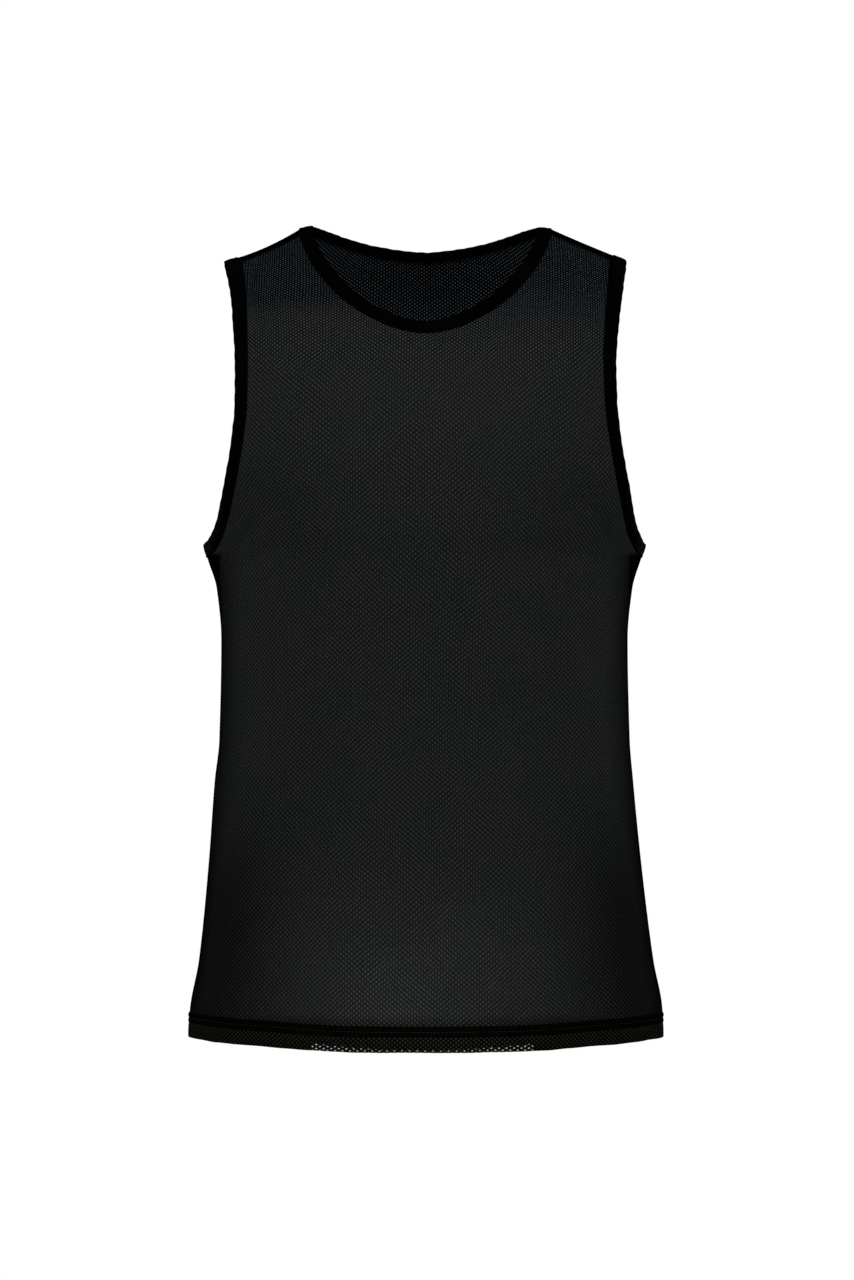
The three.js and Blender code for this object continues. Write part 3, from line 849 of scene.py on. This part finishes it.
# %% The folded tape
# Across the tape from the net's edge, and off the middle of the cloth
TAPE_OUTLINE = np.array([
    (-1.4, 0.55), (-1.1, 1.0), (-0.5, 1.22), (0.4, 1.32), (1.3, 1.16), (1.8, 1.08),
    (2.3, 1.18), (3.6, 1.40), (5.6, 1.46), (7.8, 1.40), (9.3, 1.26), (10.3, 0.95),
    (10.85, 0.5),
])
TAPE_OUTLINE = np.concatenate([TAPE_OUTLINE, [[11.0, 0.0]], TAPE_OUTLINE[::-1] * [1, -1]])
STITCH_LINE = 1.8
SWELL, WANDER, TAPE_CLOSING = 0.07, 0.16, 1.1
TAPE_WAVES = {
    "neck": [(23, 0.4), (37, 1.9), (61, 4.0)],
    "right_armhole": [(19, 2.2), (33, 0.3), (52, 5.1)],
    "left_armhole": [(21, 3.6), (31, 1.2), (55, 0.7)],
}

# The neck tape's inner leaf is narrower, and the net shows inside up to its edge
NARROW_LEAF = [(2.9, -1.15), (2.6, -0.6), (2.5, 0.25), (-1.2, 0.35)]
NECK_OUTLINE = np.concatenate([TAPE_OUTLINE[:-7], NARROW_LEAF])


def wobble(lengths, total, size, waves):
    """An uneven ripple round a loop: a few sine waves that fit it a whole number of times."""
    turn = 2 * np.pi * lengths / total
    ripple = sum(np.sin(count * turn + phase) / (1 + k) for k, (count, phase) in enumerate(waves))
    return size * ripple


def tape_ring(name):
    """The outline carried round an edge. It is swollen by the ripple, and its edge at the
    opening wanders a little. Also its stitch lines, outside and inside, and their directions."""
    at_neck = name == "neck"
    outline, lean = (NECK_OUTLINE, BINDING_LEAN) if at_neck else (TAPE_OUTLINE, 0.0)
    points, normals, lengths, total = even_loop(BINDING_STEP, round, *edges[name])
    along, face, across = edge_frames(points, normals, BINDING_STEP)
    angle = lean * np.exp(-((points[:, 1:2] / LEAN_DEPTH) ** 2))
    reach = across * np.cos(angle) - face * np.sin(angle)
    up = face * np.cos(angle) + across * np.sin(angle)
    root = points + across * (BINDING_WALL / 2) * np.sin(angle)
    swell = 1 + wobble(lengths, total, SWELL, TAPE_WAVES[name])
    wander = wobble(lengths, total, WANDER, TAPE_WAVES[name][::-1])
    out = outline[:, 0] + wander[:, None] * (outline[:, 0] / BINDING_WIDTH)
    off = outline[:, 1] * swell[:, None]
    ring = root[:, None] + reach[:, None] * out[..., None] + up[:, None] * off[..., None]
    around = lengths_along(outline)
    around = np.append(around, around[-1] + TAPE_CLOSING)
    line = root + reach * STITCH_LINE
    inner_line = line + reach * (outline[-2, 0] if at_neck else 0.0)
    uv = grid_uv(np.append(lengths, total)[:, None], around)
    return ring, uv, (line, inner_line, along, up)


tapes = {name: tape_ring(name) for name in edges}
for name, (ring, uv, _) in tapes.items():
    print(name, "tape is", round(float(uv[-1, 0, 0]), 3), "m long")

# %% The tape's material
TAPE_BLACK = (0.0012, 0.0012, 0.0011, 1)
TAPE_WORN = (0.0046, 0.0046, 0.0036, 1)
WALE, WALE_LEAN = 0.75, 0.9
TAPE_FIBRES, WEAR_SCALE, WEAR_RANGE = 2200.0, 18.0, (0.35, 0.75)


def tape_material():
    """Matt knitted tape: fine wales run along it, and the yarn of each leans to and fro."""
    material, tree, shader = start_material("tape", roughness=0.8, specular=0.01)
    uv = cloth_uv(tree)
    parts = split(uv)
    wales = times(parts["Y"], 2 * np.pi / (WALE * MM))
    rows = times(parts["X"], 2 * np.pi / (0.8 * WALE * MM))
    lean = times(reckon("SINE", rows), WALE_LEAN)
    knit = reckon("COSINE", reckon("ADD", wales, lean))
    fibre = noise(uv, TAPE_FIBRES, 3.0)
    worn = times(ramp(noise(uv, WEAR_SCALE, 2.0), *WEAR_RANGE), fibre)
    relief = reckon("MULTIPLY_ADD", fibre, 0.5, knit)
    dress(shader, blend_colours(worn, TAPE_BLACK, TAPE_WORN), relief, 0.45, 0.0002)
    return material


tape = tape_material()
for name, (ring, uv, _) in tapes.items():
    mesh = grid_mesh(f"{name}_tape", ring, uv, round_rows=True, round_columns=True)
    place_piece(f"{name}_tape", mesh, tape, "binding", f"{name}_binding")

# %% [markdown]
# ## The hem
# The bottom of the net is turned up inside and sewn down by a twin needle: two layers joined
# by a fold, with a raised ridge between the rows of stitches, where the thread beneath draws
# the cloth together. Its outline is carried round the whole bib, level by level.

# %% The doubled hem
HEM_SHARES = 92
RIPPLE, RIPPLE_WAVES = 0.22, [(31, 0.5), (47, 2.6), (83, 4.4)]
DROP, DROP_WAVES, DROP_HEIGHT = 0.15, [(13, 1.1), (29, 3.0), (41, 0.2)], 30
SIDE_SHARE, SIDE_BLUR = 0.9999, 1.2

# Height above the hem's fold, and off the middle of the cloth: up the inside, then down
# the outside
HEM_OUTLINE = np.array([
    (0.35, -0.85), (1.2, -1.12), (4.0, -1.2), (9.0, -1.15), (14.0, -1.2), (16.4, -1.0),
    (18.6, -1.3), (20.6, -1.2), (21.2, -0.7), (21.6, 0.0), (21.7, 0.65), (21.2, 1.15),
    (20.2, 1.50), (19.2, 1.62), (18.2, 1.50), (17.5, 1.20), (16.9, 0.92), (16.3, 1.15),
    (15.4, 1.42), (14.4, 1.46), (13.4, 1.25), (12.7, 0.90), (12.1, 0.95), (11.0, 1.12),
    (7.0, 1.22), (3.5, 1.2), (1.2, 1.12), (0.35, 0.85), (0.0, 0.3), (0.0, -0.3),
])


def hem_level(z):
    """The closed line of the cloth's middle at one height: across the front to the left,
    and across the back to the right."""
    across = both_sides(crowd(np.linspace(0, 1, HEM_SHARES + 1)))
    lines = []
    for side, shares in (("front", across), ("back", across[-2:0:-1])):
        level = z + 0 * shares
        line = cloth_points(side, shares * net_reach(shares, level), level)
        line[np.abs(shares) > SIDE_SHARE, 1] = 0
        lines.append(line)
    return np.concatenate(lines)


def outward(line):
    """The level normal of a closed line, softened where it turns at the sides."""
    return unit(blur_loop(np.cross(loop_direction(line), [0, 0, 1.0]), SIDE_BLUR))


def hem_ring():
    """The hem's outline at each place round the bib. The fold's line ripples a little."""
    levels = [hem_level(HEM_BOTTOM + height) for height in HEM_OUTLINE[:, 0]]
    lengths = lengths_along(close(levels[0]))
    ripple = wobble(lengths[:-1], lengths[-1], RIPPLE, RIPPLE_WAVES)
    drop = wobble(lengths[:-1], lengths[-1], DROP, DROP_WAVES)
    rings = []
    for (height, off), level in zip(HEM_OUTLINE, levels):
        ring = level + outward(level) * (off + ripple * np.sign(off))[:, None]
        ring[:, 2] += drop * (1 - height / DROP_HEIGHT)
        rings.append(ring)
    return np.stack(rings), lengths


hem_points, hem_lengths = hem_ring()
hem_uv = grid_uv(hem_lengths, close(HEM_OUTLINE)[:, :1])
print("girth at the hem:", round(float(hem_lengths[-1]) * MM, 3), "m")

# %% [markdown]
# ## The hem's cloth
# The holes of the two layers seldom meet, so the hem looks denser and shows a fine slanting
# grain. Between the needle rows the net is closed up. Only along the lowest edge in front
# do the holes meet, and the light behind comes through as a row of pale dots.

# %% The hem's material
RIDGE_FOOT = 12.9
HEM_DARK, HEM_WORN = (0.0016, 0.0016, 0.0013, 1), (0.0048, 0.0048, 0.0036, 1)
# The hem's haze, like the net's, is light painted into the holes of its grain
HEM_HAZE, HEM_FIBRES = (0.058, 0.058, 0.038, 1), 2400.0
HEM_CELL, HEM_STREAK = (4.2, 3.6), 0.15

# The stretch of pale dots: its middle and half length in metres, then its height in
# millimetres at the ends and the middle, and how softly it ends there
DOTS_MIDDLE, DOTS_HALF, DOTS_HIGH, DOTS_LOW, DOTS_BLUR = -0.0025, 0.091, 6.2, 2.6, 0.4
DOTS_CELL, DOTS_EDGE, DOTS_OPEN = (6.2, 3.4), (0.45, 0.85), 0.65
DOTS_FADE, DOTS_ENDS, DOTS_FRONT = (-0.4, 0.9, 0.65, 1.0), (1.01, 0.99), (-0.05, -0.06)


def hem_material():
    """Two nets at a small turn to each other, smooth above the ridge's foot, and open along
    the fold in front, higher at the ends of that stretch than in its middle."""
    material, tree, shader = start_material("hem", roughness=0.78, specular=0.0)
    uv, place = cloth_uv(tree), split(object_place(tree))
    height = split(uv)["Y"]
    wave = hole_wave(uv, HEM_CELL, HEM_STREAK)
    lower = ramp(height, RIDGE_FOOT * MM, (RIDGE_FOOT - 1.0) * MM)
    grain = times(ramp(wave, *HOLE_EDGE), lower)
    fibre = noise(uv, HEM_FIBRES, 3.0)
    dark = blend_colours(fibre, HEM_DARK, HEM_WORN)
    out = reckon("DIVIDE", reckon("SUBTRACT", place["X"], DOTS_MIDDLE), DOTS_HALF)
    squared = times(out, out)
    top = reckon("MULTIPLY_ADD", squared, (DOTS_HIGH - DOTS_LOW) * MM, DOTS_LOW * MM)
    above = reckon("SUBTRACT", height, top)
    inside = ramp(above, DOTS_BLUR * MM, -DOTS_BLUR * MM)
    ends = ramp(reckon("ABSOLUTE", out), *DOTS_ENDS)
    front = ramp(place["Y"], *DOTS_FRONT)
    both_layers = add_node("CombineXYZ", {"X": place["X"], "Y": height}).outputs[0]
    clear = ramp(hole_wave(both_layers, DOTS_CELL, 0.0), *DOTS_EDGE, 0.0, DOTS_OPEN)
    for share in (ramp(squared, *DOTS_FADE), inside, ends, front):
        clear = times(clear, share)
    alpha = reckon("SUBTRACT", 1.0, clear)
    relief = reckon("MULTIPLY_ADD", fibre, 0.3, times(grain, -1.0))
    dress(shader, blend_colours(grain, dark, HEM_HAZE), relief, 0.5, 0.0003, alpha)
    return material


hem_mesh = grid_mesh("hem", hem_points, hem_uv, round_rows=True, round_columns=True)
hem = place_piece("hem", hem_mesh, hem_material(), "hem", "hem_band")

# %% [markdown]
# ## Seams and stitches
# Side and shoulder seams are overlocked: the edges stand in from the net as one thick strip,
# and outside only a narrow ridge shows. Tapes and hem are sewn with short dark stitches,
# each a thread that arches out of the cloth and back. One is worked out, and a copy is set
# at every station in one step of arithmetic.

# %% Stitches
STITCH_SIDES, STITCH_STEPS = 5, 5
END_SHARE, STITCH_RISE, STITCH_SINK = 0.05, 0.75, 0.35


def sew(name, slot, thread, line, along, up, pitch, length, thickness):
    """A row of short arched threads at an even pitch along a closed line. The height of each
    over the cloth is a half circle's, flattened, and its ends are closed to points."""
    centres, along, up, _, _ = even_loop(pitch, int, line, along, up)
    along, up = unit(along), unit(up)
    step = np.linspace(-1, 1, STITCH_STEPS)[:, None]
    turn = np.arange(STITCH_SIDES) / STITCH_SIDES * 2 * np.pi
    across = np.cross(along, up)
    bulge = np.sqrt(np.maximum(1 - step**2, 0))
    radius = thickness / 2 * np.maximum(bulge, END_SHARE) ** 0.5
    lift = thickness * (STITCH_RISE * bulge - STITCH_SINK)
    line = centres[:, None] + along[:, None] * (step * length / 2) + up[:, None] * lift
    sideways, upwards = ((radius * wave(turn))[..., None] for wave in (np.cos, np.sin))
    points = line[:, :, None] + across[:, None, None] * sideways + up[:, None, None] * upwards
    s = np.arange(STITCH_STEPS - 1)[:, None] * STITCH_SIDES
    t = np.arange(STITCH_SIDES)
    t1 = (t + 1) % STITCH_SIDES
    sides = np.stack([s + t, s + t1, s + STITCH_SIDES + t1, s + STITCH_SIDES + t], -1)
    caps = np.stack([t[::-1], t + (STITCH_STEPS - 1) * STITCH_SIDES])
    offsets = np.arange(len(centres))[:, None, None] * STITCH_STEPS * STITCH_SIDES
    faces = (sides.reshape(1, -1, 4) + offsets).reshape(-1, 4).tolist()
    faces += (caps + offsets).reshape(-1, STITCH_SIDES).tolist()
    name += "_stitches"
    return place_piece(name, new_mesh(name, points, faces), thread, slot)


# %% The thread and its material
THREAD_DARK = (0.0020, 0.0020, 0.0018, 1)
THREAD_LIGHT = (0.022, 0.022, 0.020, 1)
TWIST_SCALE = 3000.0


def thread_material(name, colour, specular):
    """Spun thread: fine slanting twist, a little shinier than the cloth."""
    material, tree, shader = start_material(name, roughness=0.6, specular=specular)
    twist = noise(object_place(tree), TWIST_SCALE, 2.0, "3D")
    darker = tuple(0.5 * part for part in colour[:3]) + (1,)
    dress(shader, blend_colours(twist, darker, colour), twist, 0.4, 0.0001)
    return material


dark_thread = thread_material("dark thread", THREAD_DARK, 0.01)
hem_thread = thread_material("hem thread", THREAD_LIGHT, 0.4)

# %% Sew the tapes down, outside and inside
# A stitch is its pitch, its length and the thickness of its thread
TAPE_STITCH, TAPE_LIFT = (2.9, 2.1, 0.34), 1.12
for name, (_, _, (line, inner_line, along, up)) in tapes.items():
    for face, on_face, turned in (("outer", line, up), ("inner", inner_line, -up)):
        row = (on_face + turned * TAPE_LIFT, along, turned, *TAPE_STITCH)
        sew(f"{name}_{face}", "binding", dark_thread, *row)

# %% Sew the hem with two rows
HEM_ROWS = {"upper": (21.0, 1.2, dark_thread), "lower": (16.9, 0.95, hem_thread)}
HEM_STITCH = (3.2, 2.5, 0.42)
for name, (height, off, thread) in HEM_ROWS.items():
    level = hem_level(HEM_BOTTOM + height)
    out = outward(level)
    row = (level + out * off, loop_direction(level), out, *HEM_STITCH)
    sew(f"hem_{name}", "hem", thread, *row)

# %% The side and shoulder seams
# Out of the bib from the seam's line, and across it: a ridge outside, a strip inside
SEAM_OUTLINE = np.array([
    (0.55, 0.0), (0.45, 0.8), (0.1, 1.3), (-0.5, 0.9), (-1.6, 0.75), (-4.0, 0.8), (-6.6, 0.9),
    (-7.2, 0.5), (-7.3, 0.0),
])
SEAM_OUTLINE = np.concatenate([SEAM_OUTLINE, SEAM_OUTLINE[-2:0:-1] * [1, -1]])
SEAM_STEP, SHOULDER_STATIONS = 3.0, 24
SHOULDER_STRIP, SEAM_CLOSING = 0.35, 0.9

# Two waves that sway the strip: how far, and over what length
SWAYS = [(0.9, 17), (0.5, 7.3)]


def seam_strip(name, x, z, out, phase, depth=1.0):
    """The seam's outline along an open line. Its inner strip sways from side to side, and
    depth is the share of it that stands in from the cloth."""
    line = np.stack([x, 0 * x, z], 1)
    along = unit(np.gradient(line, axis=0))
    out = unit(out - (out * along).sum(1, keepdims=True) * along)
    across = np.cross(along, out)
    lengths = lengths_along(line)
    sway = sum(
        far * np.sin(lengths / run + (k + 1) * phase) for k, (far, run) in enumerate(SWAYS)
    )
    inner = np.maximum(-SEAM_OUTLINE[:, 0], 0) / -SEAM_OUTLINE[:, 0].min()
    off = np.where(SEAM_OUTLINE[:, 0] < 0, depth, 1.0) * SEAM_OUTLINE[:, 0]
    side = SEAM_OUTLINE[:, 1] + sway[:, None] * inner**1.5
    points = line[:, None] + out[:, None] * off[:, None] + across[:, None] * side[..., None]
    around = lengths_along(SEAM_OUTLINE)
    uv = grid_uv(lengths[:, None], np.append(around, around[-1] + SEAM_CLOSING))
    mesh = grid_mesh(name, points, uv, round_columns=True)
    return place_piece(name, mesh, tape, "net")


for name, sign in (("right", -1.0), ("left", 1.0)):
    z = np.arange(HEM_TOP - 2, UNDERARM + 2, SEAM_STEP)
    x = sign * net_reach(sign + 0 * z, z)
    seam_strip(f"{name}_side_seam", x, z, np.array([sign, 0, 0]), sign)
    reach = abs(places["front"][0][-1, -1 if sign > 0 else 0])
    x = sign * np.linspace(NECK_HALF - 1, reach + 1, SHOULDER_STATIONS)
    shape = (x, shoulder_height(x), np.array([0, 0, 1.0]), sign, SHOULDER_STRIP)
    seam_strip(f"{name}_shoulder_seam", *shape)

# %% [markdown]


# %% [markdown]
# ## Studio
# A black garment shows by its light alone. A large soft key hangs above the front, and a
# lamp at each front side keeps the chest from falling off. A weak low lamp and a small spot
# lift the middle of the hem, and three lamps light the back. The floor and the white
# surroundings are for the eye and light next to nothing, because their glow would grey the
# black cloth.

# %% Lights
AIM = (0, 0, -0.33)

# Name, place, what it faces, width, height, power, and spread in degrees
LAMPS = [
    ("key", (0.2, -2.1, 1.9), (0, -0.1, -0.25), 1.6, 1.0, 15.6, 180),
    ("low front", (0.0, -2.9, -1.1), (0, 0, -0.4), 1.0, 0.6, 0.8, 180),
    ("hem spot", (0.0, -2.6, -1.1), (-0.01, -0.1, -0.63), 0.2, 0.1, 0.024, 5.5),
    ("right front", (-2.0, -1.3, 0.25), (-0.14, -0.03, -0.2), 0.6, 0.6, 11.5, 180),
    ("left front", (2.0, -1.3, 0.25), (0.14, -0.03, -0.2), 0.6, 0.6, 11, 180),
    ("right behind", (-2.0, 2.2, -0.1), AIM, 1.0, 1.4, 16, 180),
    ("left behind", (2.0, 2.2, -0.1), AIM, 1.0, 1.4, 16, 180),
    ("behind", (0.0, 3.0, 0.0), AIM, 1.6, 1.2, 24, 180),
]

for name, place, aim, width, height, power, spread in LAMPS:
    data = bpy.data.lights.new(name, "AREA")
    data.shape, data.size, data.size_y = "RECTANGLE", width, height
    data.energy, data.spread = power, np.radians(spread)
    lamp = bpy.data.objects.new(name, data)
    lamp.location = place
    lamp.rotation_euler = (Vector(aim) - Vector(place)).to_track_quat("-Z", "Y").to_euler()
    lamp.visible_camera = False
    bpy.context.collection.objects.link(lamp)

# %% Surroundings and floor
WHITE, GLOW = 1.0, 0.015
FLOOR_HEIGHT, FLOOR_RADIUS, FLOOR_SIDES = -1.42, 2.6, 96
FLOOR_SHADES, FLOOR_GLOW = (grey(0.80), grey(0.84)), 0.72

world = bpy.data.worlds.new("studio")
bpy.context.scene.world = world
world.use_nodes = True
tree = world.node_tree
background = tree.nodes["Background"]
background.inputs["Color"].default_value = grey(1)
seen = add_node("LightPath", {}, tree).outputs["Is Camera Ray"]
strength = add_node("MapRange", {"Value": seen, "To Min": GLOW, "To Max": WHITE})
tree.links.new(strength.outputs[0], background.inputs["Strength"])

turn = np.linspace(0, 2 * np.pi, FLOOR_SIDES, endpoint=False)
rim = np.stack([np.cos(turn), np.sin(turn), 0 * turn], 1) * FLOOR_RADIUS + [0, 0, FLOOR_HEIGHT]
floor_mesh = bpy.data.meshes.new("floor")
floor_mesh.from_pydata(rim.tolist(), [], [list(range(FLOOR_SIDES))])
material, tree, shader = start_material("pale floor", roughness=0.9, specular=0.1)
paint = noise(object_place(tree), 3.0, 2.0, "3D")
tree.links.new(blend_colours(paint, *FLOOR_SHADES), shader.inputs["Base Color"])
shader.inputs["Emission Color"].default_value = grey(1)
shader.inputs["Emission Strength"].default_value = FLOOR_GLOW
floor_mesh.materials.append(material)
floor = bpy.data.objects.new("floor", floor_mesh)
floor.visible_diffuse = floor.visible_glossy = floor.visible_transmission = False
bpy.context.collection.objects.link(floor)

scene = bpy.context.scene
scene.view_settings.view_transform = "Standard"
